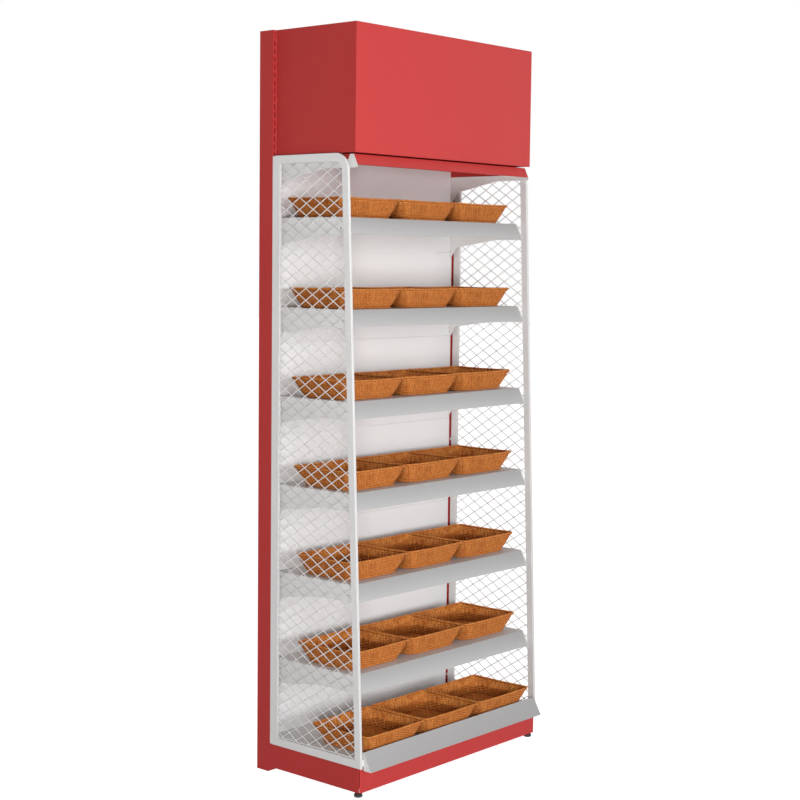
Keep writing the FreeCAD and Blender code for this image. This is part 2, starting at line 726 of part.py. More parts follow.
def bend_corner(body, inset):
    """Round the top front corner of an outline that lies an inset inside the frame's."""
    y = size_of("frame_top_front") + size_of(inset) * (1 - size_of("frame_lean"))
    z = size_of("frame_high") - size_of(inset)
    round_edges(body, f"frame_corner - {inset}", lambda e: along(e, "x") and at(e, "y", y) and at(e, "z", z))


def frame_ring(name, outer, inner, from_x, thickness):
    """A closed ring that follows the side frame between two insets, with its top front corner bent."""
    core = new_body(name + "_core")
    plate(core, [frame_outline(inner)], f"{from_x} - frame_edge", f"{thickness} + 2 * frame_edge")
    bend_corner(core, inner)
    body = new_body(name)
    plate(body, [frame_outline(outer)], from_x, thickness)
    bend_corner(body, outer)
    opening = body.newObject("PartDesign::Boolean", name + "_opening")
    opening.Type = "Cut"
    opening.setObjects([core])
    return body


def make_side_frames():
    """Bent tube frame, open at the foot of its rear tube, that hangs on the outer slots."""
    body = frame_ring("frame_tube", "tube_outside", "tube_inside", "-half_width", "frame_width")
    round_edges(body, "frame_edge", lambda e: at(e, "x", -size_of("half_width"))
                or at(e, "x", -size_of("frame_inner")))
    strip = [rectangle("frame_rear - frame_edge", "post_front - fit_gap",
                       "leg_top + frame_edge", "frame_high - frame_edge")]
    plate(body, strip, "-half_width", "strip_sheet")
    hooks_on(body, ["frame_slot_low", "frame_slot_mid", "frame_slot_high"], "outer_slot",
             "frame_rear - frame_wall / 2")
    bore = frame_ring("frame_bore", "bore_outside", "bore_inside",
                      "-half_width + frame_wall", "frame_width - 2 * frame_wall")
    mouth = [rectangle("frame_rear - frame_depth + frame_wall", "frame_rear - frame_wall",
                       "leg_top - fit_gap", "leg_top + 2 * frame_wall")]
    plate(bore, mouth, "-half_width + frame_wall", "frame_width - 2 * frame_wall")
    frame = keep(subtract("frame_left", body, bore), "side_frame_left")
    keep(mirrored(frame, "frame_right"), "side_frame_right")


def make_side_meshes():
    """Two layers of crossed wires, welded where they meet and cut to the frame's opening."""
    lean = size_of("frame_lean")
    inset = size_of("frame_depth")
    rear, low = size_of("frame_rear") - inset, size_of("leg_top") + inset
    high = size_of("frame_high") - inset
    low_front = size_of("frame_low_front") + inset * (1 + lean)
    top_front = size_of("frame_top_front") + inset * (1 - lean)
    corners = [FreeCAD.Vector(0, y, z)
               for y, z in ((rear, low), (low_front, low), (top_front, high), (rear, high), (rear, low))]
    width = size_of("frame_width")
    opening = Part.Face(Part.makePolygon(corners)).extrude(FreeCAD.Vector(width, 0, 0))
    bend = [e for e in opening.Edges if along(e, "x") and at(e, "y", top_front) and at(e, "z", high)]
    opening = opening.makeFillet(size_of("frame_corner") - inset, bend)
    opening.translate(FreeCAD.Vector(-size_of("half_width"), 0, 0))

    radius = size_of("wire_radius")
    step = size_of("diamond_height")
    slope = step / size_of("diamond_width")
    node_y = size_of("post_front") - size_of("diamond_back")
    node_z = size_of("frame_high") - size_of("diamond_drop")
    start, end = low_front - width, rear + width
    wires = []
    for layer, rise in ((-1, slope), (1, -slope)):
        x = -size_of("half_width") + width / 2 + layer * radius
        reach = abs(rise) * (end - start)
        first = math.floor((low - reach - node_z) / step)
        last = math.ceil((high + reach - node_z) / step)
        for index in range(first, last + 1):
            base = FreeCAD.Vector(x, start, node_z + index * step + rise * (start - node_y))
            run = FreeCAD.Vector(0, end - start, rise * (end - start))
            wires.append(Part.makeCylinder(radius, run.Length, base, run))
    clipped = Part.makeCompound(wires).common(opening)
    left = doc.addObject("Part::Feature", "mesh_left")
    left.Shape = Part.makeCompound(clipped.Solids)
    left.Placement = FreeCAD.Placement()
    keep(left, "side_mesh_left")
    keep(mirrored(left, "mesh_right"), "side_mesh_right")


# ---------------------------------------------------------------------------- baskets
def basket_ring(inset):
    across = f"(basket_width / 2 - ({inset}))"
    deep = f"(basket_depth / 2 - ({inset}))"
    return rectangle(f"-{across}", across, f"-{deep}", deep)


def flared_block(name, low, inset, height, bend):
    """A block that widens upwards, with its four standing corners rounded."""
    body = new_body(name)
    block_up = pad(body, draw(new_sketch(body, "XY", low), basket_ring(inset)), height)
    block_up.setExpression("TaperAngle", ref("atan((basket_flare - rim_overhang) / basket_height)"))
    round_edges(body, bend, lambda e: rises(e, size_of("basket_height") / 2))
    return body


def rises(edge, height):
    """Whether an edge climbs by more than a height from end to end."""
    ends = edge.Vertexes
    return len(ends) == 2 and abs(ends[0].Z - ends[1].Z) > height


def make_basket_pattern():
    """Flared open tray with a thick rolled rim, standing at the origin."""
    outside = flared_block("basket_outside", "0", "basket_flare", "basket_height", "basket_corner")
    rim = draw(new_sketch(outside, "XY", "basket_height - rim_height"), basket_ring("0"))
    pad(outside, rim, "rim_height")
    round_edges(outside, "basket_corner", lambda e: rises(e, size_of("rim_height") / 2) and along(e, "z"))
    inside = flared_block("basket_inside", "basket_wall", "basket_flare + basket_wall",
                          "basket_height + basket_wall", "basket_corner - basket_wall")
    return subtract("basket_pattern", outside, inside)


def make_baskets():
    """Three baskets side by side on every deck, each drawn up behind the front edge."""
    pattern = make_basket_pattern()
    doc.recompute()
    levels = [(f"deck_{level}", f"crease_{level} + basket_setback") for level in SHELVES]
    levels.append(("base_deck", "base_crease + base_basket_setback"))
    for number, (deck, front) in enumerate(levels, 1):
        for place, name in zip((-1, 0, 1), ("left", "middle", "right")):
            basket = doc.addObject("Part::Feature", f"basket_{number}_{name}")
            basket.Shape = pattern.Shape
            basket.setExpression("Placement.Base.x", ref(f"{place} * (basket_width + basket_gap)"))
            basket.setExpression("Placement.Base.y", ref(f"{front} + basket_depth / 2"))
            basket.setExpression("Placement.Base.z", ref(f"{deck} + fit_gap"))
            keep(basket, f"basket_{number}_{name}")


# ---------------------------------------------------------------------------- assembly
make_uprights()
make_upright_caps()
make_legs()
make_levellers()
make_plinth()
make_base_shelf()
make_shelves()
make_canopy()
make_header()
make_side_frames()
make_side_meshes()
make_back()
make_cross_rails()
make_baskets()
doc.recompute()

for item in doc.Objects:
    if "Invalid" in item.State or "Error" in item.State:
        raise RuntimeError(f"{item.Label} did not build: {item.State}")
for part in PARTS:
    if part.Shape.isNull() or not part.Shape.isValid():
        raise RuntimeError(f"{part.Label} has no valid shape")

os.makedirs("parts", exist_ok=True)
for part in PARTS:
    part.Shape.exportStep(f"parts/{part.Label}.step")
print(f"{len(PARTS)} sub-parts written")
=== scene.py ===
import json
import math
import random

import bpy
from mathutils import Matrix, Vector


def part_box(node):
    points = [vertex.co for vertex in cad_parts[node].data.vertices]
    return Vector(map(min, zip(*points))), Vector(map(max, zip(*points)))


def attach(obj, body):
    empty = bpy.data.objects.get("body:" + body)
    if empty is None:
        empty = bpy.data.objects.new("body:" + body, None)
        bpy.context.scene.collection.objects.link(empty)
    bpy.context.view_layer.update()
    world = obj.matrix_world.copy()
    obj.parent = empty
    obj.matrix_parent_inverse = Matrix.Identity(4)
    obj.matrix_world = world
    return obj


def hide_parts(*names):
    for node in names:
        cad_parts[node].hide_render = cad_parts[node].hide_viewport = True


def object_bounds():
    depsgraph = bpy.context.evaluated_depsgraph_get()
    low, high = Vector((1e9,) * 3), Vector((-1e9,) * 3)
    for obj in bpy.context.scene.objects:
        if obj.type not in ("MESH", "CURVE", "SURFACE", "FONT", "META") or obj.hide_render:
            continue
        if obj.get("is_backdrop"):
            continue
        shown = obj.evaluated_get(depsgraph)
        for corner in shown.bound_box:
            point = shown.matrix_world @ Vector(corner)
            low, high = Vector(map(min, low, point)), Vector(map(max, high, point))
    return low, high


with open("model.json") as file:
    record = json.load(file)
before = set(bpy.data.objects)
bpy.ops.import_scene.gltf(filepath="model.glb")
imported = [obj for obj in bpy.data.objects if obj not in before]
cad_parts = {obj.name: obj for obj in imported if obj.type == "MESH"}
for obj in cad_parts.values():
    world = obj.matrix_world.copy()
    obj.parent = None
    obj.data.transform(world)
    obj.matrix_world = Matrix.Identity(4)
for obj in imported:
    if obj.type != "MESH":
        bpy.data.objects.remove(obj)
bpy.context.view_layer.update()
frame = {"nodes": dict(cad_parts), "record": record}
random.seed(7)

UP = Vector((0, 0, 1))
WHITE_LIGHT = (1.0, 1.0, 1.0, 1.0)


# ---------------------------------------------------------------------------- node helpers
# The colour sockets of a Mix node share their names with its other sockets, so they go by number.
MIX_FIRST, MIX_SECOND, MIX_RESULT = 6, 7, 2


class Shader:
    """A small wrapper that builds one node material."""

    def __init__(self, name):
        self.material = bpy.data.materials.new(name)
        self.material.use_nodes = True
        self.tree = self.material.node_tree
        self.tree.nodes.clear()
        self.surface = self.add("ShaderNodeBsdfPrincipled")
        output = self.add("ShaderNodeOutputMaterial")
        self.join(self.surface.outputs["BSDF"], output.inputs["Surface"])
        self.place = self.add("ShaderNodeTexCoord").outputs["Object"]

    def add(self, kind, **settings):
        node = self.tree.nodes.new(kind)
        for key, value in settings.items():
            setattr(node, key, value)
        return node

    def join(self, source, target):
        self.tree.links.new(source, target)

    def feed(self, value, socket):
        """Set a socket to a constant or link another socket to it."""
        if isinstance(value, bpy.types.NodeSocket):
            self.join(value, socket)
        else:
            socket.default_value = value

    def axes(self, kind):
        """The X, Y and Z outputs of one kind of texture coordinate."""
        node = self.add("ShaderNodeSeparateXYZ")
        self.join(self.add("ShaderNodeTexCoord").outputs[kind], node.inputs["Vector"])
        return node.outputs

    def noise(self, scale, detail=3.0, rough=0.5, vector=None):
        node = self.add("ShaderNodeTexNoise")
        node.inputs["Scale"].default_value = scale
        node.inputs["Detail"].default_value = detail
        node.inputs["Roughness"].default_value = rough
        self.join(vector or self.place, node.inputs["Vector"])
        return node.outputs["Fac"]

    def streaks(self, scales, detail, rough):
        """Noise with a scale of its own along each axis."""
        node = self.add("ShaderNodeVectorMath", operation="MULTIPLY")
        self.join(self.place, node.inputs[0])
        node.inputs[1].default_value = scales
        return self.noise(1.0, detail, rough, node.outputs["Vector"])

    def span(self, value, low, high, new_low=0.0, new_high=1.0):
        """Bring a value from low..high to new_low..new_high and keep it in there."""
        node = self.add("ShaderNodeMapRange")
        self.feed(value, node.inputs["Value"])
        limits = {"From Min": low, "From Max": high, "To Min": new_low, "To Max": new_high}
        for key, number in limits.items():
            node.inputs[key].default_value = number
        return node.outputs["Result"]

    def math(self, operation, a, b=0.0, c=0.0):
        node = self.add("ShaderNodeMath", operation=operation)
        for socket, value in zip(node.inputs, (a, b, c)):
            self.feed(value, socket)
        return node.outputs["Value"]

    def mix(self, amount, first, second):
        node = self.add("ShaderNodeMix", data_type="RGBA")
        self.feed(amount, node.inputs["Factor"])
        self.feed(first, node.inputs[MIX_FIRST])
        self.feed(second, node.inputs[MIX_SECOND])
        return node.outputs[MIX_RESULT]

    def bump(self, height, strength, distance):
        node = self.add("ShaderNodeBump")
        node.inputs["Strength"].default_value = strength
        node.inputs["Distance"].default_value = distance
        self.join(height, node.inputs["Height"])
        self.join(node.outputs["Normal"], self.surface.inputs["Normal"])

    def set(self, **values):
        for key, value in values.items():
            self.feed(value, self.surface.inputs[key.replace("_", " ")])


def tone(r, g, b):
    return (r, g, b, 1.0)


def darker(colour, factor):
    return tone(*[channel * factor for channel in colour])


# ---------------------------------------------------------------------------- materials
# Scales of noise are per metre of the object, and distances of bumps are in metres. A pair is a
# range, from low to high unless its comment says otherwise.
NOISE_MIDDLE = (0.3, 0.7)           # most of a noise's values lie in here
GLOSS = 0.12                        # specular level of powder coat and varnish

COAT_CLOUD, COAT_SMEAR = 2.3, 14.0  # scales of the clouding and of the hand marks
COAT_PEEL, COAT_GRIT = 420.0, 900.0
CLOUD_MIDDLE = (0.35, 0.65)
GRIT_SHARE = 0.3
FRONT_NORMAL = (-0.45, -0.6)        # Y of the normal, from other faces to the front
FRONT_FADE = (0.05, 0.95)           # share of the piece's height, from foot to front
FRONT_CLOUD = 0.03

MOULD_MARKS = 30.0
SPECK_SHADE = 0.8

THREAD_RINGS, ZINC_SPANGLE = 105.0, 160.0
ZINC_ROUGH = (0.28, 0.42)

CANE_BLOTCH, CANE_ROUGH = 30.0, (0.48, 0.64)
LEVEL_STREAKS, LEVEL_MIDDLE = (42.0, 42.0, 330.0), (0.36, 0.64)
UPRIGHT_STREAKS, UPRIGHT_MIDDLE = (170.0, 170.0, 14.0), (0.38, 0.62)
CANE_FIBRES = (240.0, 240.0, 1400.0)
INSIDE_NORMAL = (0.0, 0.3)          # Z of the normal: inner walls and floor look up
# INSIDE_SHARE lifts the tone of the inner walls and the floor: painted light.
LEVEL_SHARE, UPRIGHT_SHARE, BLOTCH_SHARE, INSIDE_SHARE = 0.42, 0.62, 0.28, 0.30
STRAND_SHARE = (0.28, 0.14)         # on the outside and on the inside
# Painted highlight: from GLINT_FROM up the tone turns towards the glint colour, by at most
# GLINT_MOST.
GLINT_FROM, GLINT_MOST = 0.72, 0.6
WALL_NORMAL = (-0.35, 0.35)         # Z of the normal, from an outer wall to an inner one
# WALL_VALUE scales the value from the outer walls to the lighter inner ones: painted light.
WALL_VALUE = (0.94, 1.52)
END_NORMAL = (-0.95, -0.6)          # X of the normal: painted shade on the outer left end of a basket
END_VALUE = (0.72, 1.0)
FIBRE_DARK, FIBRE_MOST, FIBRE_SHADE = (0.45, 0.75), 0.25, 0.5


def powder_coat(name, colour, shade, roughness, front=None, foot=None):
    """Baked powder coat: fine orange peel, faint clouding and hand marks in the gloss.

    front and foot, if given, are the colours of the faces that look towards the shopper, at the
    top and at the bottom of the piece. On the red the other faces get a darker copy of the red,
    which is painted shade; on the shelves the grey front is a paint of its own."""
    s = Shader(name)
    cloud = s.span(s.noise(COAT_CLOUD, detail=2.0), *CLOUD_MIDDLE)
    base = s.mix(cloud, tone(*shade), tone(*colour))
    if front:
        facing = s.span(s.axes("Normal")["Y"], *FRONT_NORMAL)
        height = s.span(s.axes("Generated")["Z"], *FRONT_FADE)
        fade = s.mix(height, tone(*foot), tone(*front))
        clouded = s.mix(cloud, s.mix(FRONT_CLOUD, fade, tone(*shade)), fade)
        base = s.mix(facing, base, clouded)
    grit = s.noise(COAT_GRIT, detail=2.0)
    smear = s.noise(COAT_SMEAR, detail=4.0, rough=0.65)
    rough = s.span(smear, *NOISE_MIDDLE, roughness - 0.06, roughness + 0.08)
    s.set(Base_Color=base, Roughness=rough, Specular_IOR_Level=GLOSS)
    peel = s.math("ADD", s.noise(COAT_PEEL, detail=1.0), s.math("MULTIPLY", grit, GRIT_SHARE))
    s.bump(peel, strength=0.08, distance=0.0006)
    return s.material


def moulded(name, colour, roughness, grain):
    """Injection-moulded plastic with a fine spark-eroded grain."""
    s = Shader(name)
    speck = s.span(s.noise(grain, detail=4.0, rough=0.6), *NOISE_MIDDLE)
    s.set(Base_Color=s.mix(speck, darker(colour, SPECK_SHADE), tone(*colour)),
          Roughness=s.span(s.noise(MOULD_MARKS), *NOISE_MIDDLE, roughness - 0.05, roughness + 0.1))
    s.bump(speck, strength=0.15, distance=0.0004)
    return s.material


def zinc(name, dull, bright):
    """Zinc-plated rod with the fine rings of a thread."""
    s = Shader(name)
    ring = s.add("ShaderNodeTexWave", wave_type="BANDS", bands_direction="Z")
    ring.inputs["Scale"].default_value = THREAD_RINGS
    s.join(s.place, ring.inputs["Vector"])
    spangle = s.span(s.noise(ZINC_SPANGLE, detail=2.0), *NOISE_MIDDLE)
    s.set(Base_Color=s.mix(spangle, tone(*dull), tone(*bright)), Metallic=1.0,
          Roughness=s.span(spangle, 0.0, 1.0, *ZINC_ROUGH))
    s.bump(ring.outputs["Fac"], strength=0.6, distance=0.0006)
    return s.material


def cane(name, deep, light, glint):
    """Stained and varnished cane. Each strand has a tone of its own, with fibres along it.

    The streaks run level on the outer walls of a basket and upright on its inner walls. The inner
    walls and the floor, which look up, are lighter as painted light, and the outer left end of a
    basket is darker as painted shade; the lightest streaks get a painted highlight."""
    s = Shader(name)
    strand = s.add("ShaderNodeAttribute", attribute_name="strand",
                   attribute_type="GEOMETRY").outputs["Fac"]
    blotch = s.span(s.noise(CANE_BLOTCH, rough=0.6), *NOISE_MIDDLE)
    level = s.span(s.streaks(LEVEL_STREAKS, detail=4.0, rough=0.7), *LEVEL_MIDDLE)
    upright = s.span(s.streaks(UPRIGHT_STREAKS, detail=3.0, rough=0.6), *UPRIGHT_MIDDLE)
    fibre = s.streaks(CANE_FIBRES, detail=3.0, rough=0.7)
    turn = s.axes("Normal")
    inside = s.span(turn["Z"], *INSIDE_NORMAL)
    outside = s.math("SUBTRACT", 1.0, inside)
    streak = s.math("ADD",
                    s.math("MULTIPLY", s.math("MULTIPLY", level, LEVEL_SHARE), outside),
                    s.math("MULTIPLY", s.math("MULTIPLY", upright, UPRIGHT_SHARE), inside))
    own = s.math("MULTIPLY", strand, s.span(inside, 0.0, 1.0, *STRAND_SHARE))
    # The inside share added here is painted light on the inner walls and the floor.
    grain = s.math("ADD", s.math("MULTIPLY_ADD", inside, INSIDE_SHARE, streak),
                   s.math("MULTIPLY", blotch, BLOTCH_SHARE))
    pick = s.math("ADD", own, grain)
    stain_and_painted_light = s.mix(pick, tone(*deep), tone(*light))
    # Painted highlight on the lightest strands.
    stain_and_painted_light = s.mix(s.span(pick, GLINT_FROM, 1.0, 0.0, GLINT_MOST), stain_and_painted_light, tone(*glint))
    # Painted light and shade: lit makes the inner walls and floor lighter, shaded the outer left
    # end darker.
    lit = s.span(turn["Z"], *WALL_NORMAL, *WALL_VALUE)
    shaded = s.math("MAXIMUM", s.span(turn["X"], *END_NORMAL, *END_VALUE), inside)
    painted_light_and_shade = s.add("ShaderNodeHueSaturation")
    s.feed(s.math("MULTIPLY", lit, shaded), painted_light_and_shade.inputs["Value"])
    s.join(stain_and_painted_light, painted_light_and_shade.inputs["Color"])
    dark = s.span(fibre, *FIBRE_DARK, 0.0, FIBRE_MOST)
    s.set(Base_Color=s.mix(dark, painted_light_and_shade.outputs["Color"], darker(deep, FIBRE_SHADE)),
          Roughness=s.span(blotch, 0.0, 1.0, *CANE_ROUGH), Specular_IOR_Level=GLOSS)
    s.bump(fibre, strength=0.2, distance=0.0005)
    return s.material


# The red's colour and shade, which the faces turned aside get, are darker copies of its front
# colours: painted shade on the sides of the red pieces.
RED = powder_coat("red_enamel", (0.49, 0.041, 0.038), (0.47, 0.039, 0.036), 0.42,
                  front=(0.575, 0.052, 0.050), foot=(0.59, 0.054, 0.052))
WHITE = powder_coat("white_enamel", (0.80, 0.79, 0.785), (0.775, 0.765, 0.76), 0.45)
PANEL = powder_coat("panel_enamel", (0.915, 0.925, 0.935), (0.895, 0.905, 0.915), 0.5)
SHELF = powder_coat("shelf_enamel", (0.84, 0.835, 0.83), (0.82, 0.815, 0.81), 0.45,
                    front=(0.45, 0.445, 0.445), foot=(0.585, 0.58, 0.58))
BASE = powder_coat("base_enamel", (0.84, 0.835, 0.83), (0.82, 0.815, 0.81), 0.45,
                   front=(0.48, 0.475, 0.475), foot=(0.46, 0.455, 0.455))
RED_PLASTIC = moulded("red_plastic", (0.5, 0.05, 0.047), 0.45, 600.0)
BLACK = moulded("black_plastic", (0.02, 0.02, 0.021), 0.5, 700.0)
ZINC = zinc("zinc_steel", (0.5, 0.5, 0.52), (0.66, 0.66, 0.68))
CANE = cane("cane", (0.31, 0.080, 0.016), (0.60, 0.212, 0.047), (0.68, 0.33, 0.09))

# The slot grey_enamel holds the brackets, rails and side panels, which look white in the
# photograph, and the shelves, of which only the faces towards the shopper look grey.
FINISH = {"red_enamel": RED, "white_enamel": PANEL, "grey_enamel": WHITE, "zinc_steel": ZINC,
          "black_plastic": BLACK, "red_plastic": RED_PLASTIC, "wicker": CANE}
SLOT_OF = {row["node"]: row["material_slot"] for row in frame["record"]["subparts"]}
for node, obj in frame["nodes"].items():
    finish = FINISH[SLOT_OF[node]]
    if node == "base_shelf":
        finish = BASE
    elif node.startswith("shelf_") and not node.endswith("_brackets"):
        finish = SHELF
    obj.data.materials.clear()
    obj.data.materials.append(finish)


# ---------------------------------------------------------------------------- baskets
# Lengths are in metres. A height counts up from the foot of the basket, an inset counts inwards
# from its outline, and the widths and thicknesses of strands are halves. A strand that draws its
# own shade gets one between 0 and 1, and the lower a shade is, the deeper is its tone. DROP is how
# far a part stays below the rim or its ring, and SHORT how much less high it is than the basket.
BASKET_WIDE, BASKET_DEEP, BASKET_HIGH = 0.283, 0.252, 0.065
FLARE, OVERHANG = 0.0205, 0.0006        # inset of the wall at the foot and at the rim
BELLY = 1.2                             # 1 is a straight wall, more makes it bulge
SAG = 0.0013                            # dip of the rim in the middle of each side
RIM_CORNER, FOOT_CORNER = 0.018, 0.046  # corner radius at the rim and at the foot
WALL_MIDDLE = 0.0027                    # inset of the middle of the wall
STAKES_WIDE, STAKES_DEEP = 15, 12       # stakes on a wide and on a deep side
PER_STAKE = 4                           # points of a ring from one stake to the next
STAKES_PER_RIB = 3                      # every third stake is a heavy rib
CORNER_POINTS = 2 * PER_STAKE

LINING_FOOT, LINING_DROP, LINING_HALF, LINING_SHADE = 0.001, 0.004, 0.0004, 0.25

ROW_PITCH, ROW_SWING = 0.0038, 0.0009
FIRST_ROW, ROWS_SHORT = 0.0045, 0.0095
ROW_FILL, ROW_THICK = 0.56, 0.0012
# Painted shade: how much the weavers are darkened beside a rib and beside other stakes.
DIM_AT_RIB, DIM_AT_STAKE = 0.36, 0.12
DARK_ROW, DARK_ROW_SHADE = 3, -0.1      # the third row from the top, darker as a painted shadow under the border

STAKE_FOOT, STAKE_SHORT, STAKE_STEPS = 0.002, 0.006, 6
STAKE_WIDE, RIB_WIDE, STAKE_THICK = 0.0016, 0.0021, 0.0015
# RIB_SHADE makes the heavy ribs dark: painted shade of the seams they stand in.
RIB_INSET, RIB_SHADE = 0.0014, -0.25
STAKE_SHADE, STAKE_SPREAD = 0.2, 0.3

BORDER_PLIES, BORDER_TURNS = 3, 26
BORDER_INSET, BORDER_DROP = 0.0030, 0.0046
BORDER_OUT, BORDER_RISE = 0.0017, 0.0020    # how far a ply moves sideways and up as it twists
BORDER_WIDE, BORDER_THICK = 0.0026, 0.0021
BORDER_SHADE, BORDER_STEP = -0.1, 0.12

FOOT_PLIES, FOOT_TURNS, FOOT_HEIGHT = 2, 24, 0.004
FOOT_INSET, FOOT_DROP = 0.002, 0.0012
FOOT_OUT, FOOT_RISE = 0.0012, 0.0014
FOOT_WIDE, FOOT_THICK = 0.0017, 0.0016

FLOOR_PLATE, FLOOR_PLATE_INSET, FLOOR_PLATE_SHADE = (0.0022, 0.0032), 0.002, 0.2
FLOOR_LINES, FLOOR_MARGIN, FLOOR_HEIGHT = 26, 0.003, 0.0032
FLOOR_SWING, FLOOR_FILL, FLOOR_THICK = 0.0007, 0.96, 0.0008


class Weave:
    """Collects strands, each a thin tube with its own tone, into one mesh."""

    def __init__(self):
        self.points, self.faces, self.tones = [], [], []

    def band(self, first, second, count, shade):
        """Faces between two rings of count points that start at first and at second."""
        for k in range(count):
            n = (k + 1) % count
            self.faces.append((first + k, first + n, second + n, second + k))
            self.tones.append(shade)

    def strand(self, path, sides, closed=False, shade=None, dim=None):
        """path holds (centre, across, out, half_width, half_thickness) for every ring.

        A strand without a shade draws one. dim, if given, lowers the tone of each ring by an
        amount of its own; the weavers use it for painted shade beside the stakes."""
        first, rings = len(self.points), len(path)
        for centre, across, out, wide, thick in path:
            for k in range(sides):
                turn = 2 * math.pi * (k + 0.5) / sides
                self.points.append(centre + across * (math.cos(turn) * wide)
                                   + out * (math.sin(turn) * thick))
        shade = random.random() if shade is None else shade
        for i in range(rings if closed else rings - 1):
            self.band(first + i * sides, first + (i + 1) % rings * sides, sides,
                      shade - (dim[i] if dim else 0.0))
        if not closed:
            last = first + (rings - 1) * sides
            self.faces.append(tuple(reversed(range(first, first + sides))))
            self.faces.append(tuple(range(last, last + sides)))
            self.tones.extend((shade, shade))

    def skin(self, rings, closed, shade):
        """A smooth wall through rings of points, joined end to end or capped."""
        first, count, steps = len(self.points), len(rings[0]), len(rings)
        for ring in rings:
            self.points.extend(ring)
        for i in range(steps if closed else steps - 1):
            self.band(first + i * count, first + (i + 1) % steps * count, count, shade)
        if not closed:
            last = first + (steps - 1) * count
            self.faces.append(tuple(reversed(range(first, first + count))))
            self.faces.append(tuple(range(last, last + count)))
            self.tones.extend((shade, shade))

    def mesh(self, name):
        data = bpy.data.meshes.new(name)
        data.from_pydata([tuple(p) for p in self.points], [], self.faces)
        layer = data.attributes.new("strand", "FLOAT", "FACE")
        layer.data.foreach_set("value", self.tones)
        data.validate()
        data.shade_smooth()
        data.update()
        return data


def wall_ring(height):
    """Points round the basket at a height, each with its outward direction."""
    rise = height / BASKET_HIGH
    inset = OVERHANG + (FLARE - OVERHANG) * (1 - min(rise, 1.0)) ** BELLY
    half_x, half_y = BASKET_WIDE / 2 - inset, BASKET_DEEP / 2 - inset
    r = RIM_CORNER + (FOOT_CORNER - RIM_CORNER) * (1 - min(rise, 1.0))
    corners = ((1, 1), (-1, 1), (-1, -1), (1, -1))
    points = []
    for index, (sx, sy) in enumerate(corners):
        count = (STAKES_WIDE if index % 2 == 0 else STAKES_DEEP) * PER_STAKE
        base = Vector((sx * (half_x - r), sy * (half_y - r), height))
        start = math.pi / 2 * index
        for k in range(CORNER_POINTS):
            a = start + math.pi / 2 * (k + 0.5) / CORNER_POINTS
            out = Vector((math.cos(a), math.sin(a), 0))
            points.append((base + out * r, out))
        nsx, nsy = corners[(index + 1) % 4]
        after = Vector((nsx * (half_x - r), nsy * (half_y - r), height))
        out = Vector((math.cos(start + math.pi / 2), math.sin(start + math.pi / 2), 0))
        for k in range(count):
            dip = Vector((0, 0, SAG * rise * math.sin(math.pi * (k + 0.5) / count)))
            points.append((base.lerp(after, (k + 0.5) / count) + out * r - dip, out))
    return points


def rib_places():
    """Ring positions of the heavy ribs: at both ends of every side and evenly between them."""
    places, start = [], 0
    for stakes in (STAKES_WIDE, STAKES_DEEP, STAKES_WIDE, STAKES_DEEP):
        start += CORNER_POINTS
        places += [start + k * STAKES_PER_RIB * PER_STAKE
                   for k in range(stakes // STAKES_PER_RIB + 1)]
        start += stakes * PER_STAKE
    return places


def steps_to_ribs():
    """For every position of a ring, how many steps it is to the nearest rib."""
    count, ribs = len(wall_ring(0)), rib_places()
    return [min(min(abs(i - rib), count - abs(i - rib)) for rib in ribs) for i in range(count)]


def add_lining(weave):
    """A tight thin wall inside the weavers, so that nothing shows through between them."""
    low, high = LINING_FOOT, BASKET_HIGH - LINING_DROP
    outer, inner = WALL_MIDDLE - LINING_HALF, WALL_MIDDLE + LINING_HALF
    weave.skin([[point - out * inset for point, out in wall_ring(height)]
                for height, inset in ((low, outer), (high, outer), (high, inner), (low, inner))],
               closed=True, shade=LINING_SHADE)


def add_weavers(weave, near_rib):
    """Rows of fine weavers that pass in and out of the stakes, darkened beside each stake and more
    beside a rib: painted shade.
    """
    rows = int((BASKET_HIGH - ROWS_SHORT) / ROW_PITCH)
    for row in range(rows):
        path, dim = [], []
        for i, (point, out) in enumerate(wall_ring(FIRST_ROW + row * ROW_PITCH)):
            # Every row passes a stake on the other side than the row below it.
            wave = math.cos(math.pi * (i / PER_STAKE) + math.pi * (row % 2))
            path.append((point + out * (wave * ROW_SWING - WALL_MIDDLE), UP, out,
                         ROW_PITCH * ROW_FILL, ROW_THICK))
            beside = i % PER_STAKE in (0, PER_STAKE - 1)
            at_stake = DIM_AT_RIB if near_rib[i] <= 1 else DIM_AT_STAKE
            dim.append(at_stake if beside else 0.0)
        weave.strand(path, sides=6, closed=True, dim=dim,
                     shade=DARK_ROW_SHADE if row == rows - DARK_ROW else None)


def add_stakes(weave, near_rib):
    """Upright stakes, every third of them a heavy rib that stands further in and is dark as
    painted shade.
    """
    levels = [wall_ring(STAKE_FOOT + (BASKET_HIGH - STAKE_SHORT) * step / STAKE_STEPS)
              for step in range(STAKE_STEPS + 1)]
    for i in range(0, len(near_rib), PER_STAKE):
        heavy = near_rib[i] == 0
        path = []
        for ring in levels:
            point, out = ring[i]
            side = Vector((-out.y, out.x, 0))
            path.append((point - out * (WALL_MIDDLE + (RIB_INSET if heavy else 0.0)), side, out,
                         RIB_WIDE if heavy else STAKE_WIDE, STAKE_THICK))
        shade = RIB_SHADE if heavy else STAKE_SHADE + STAKE_SPREAD * random.random()
        weave.strand(path, sides=6, shade=shade)


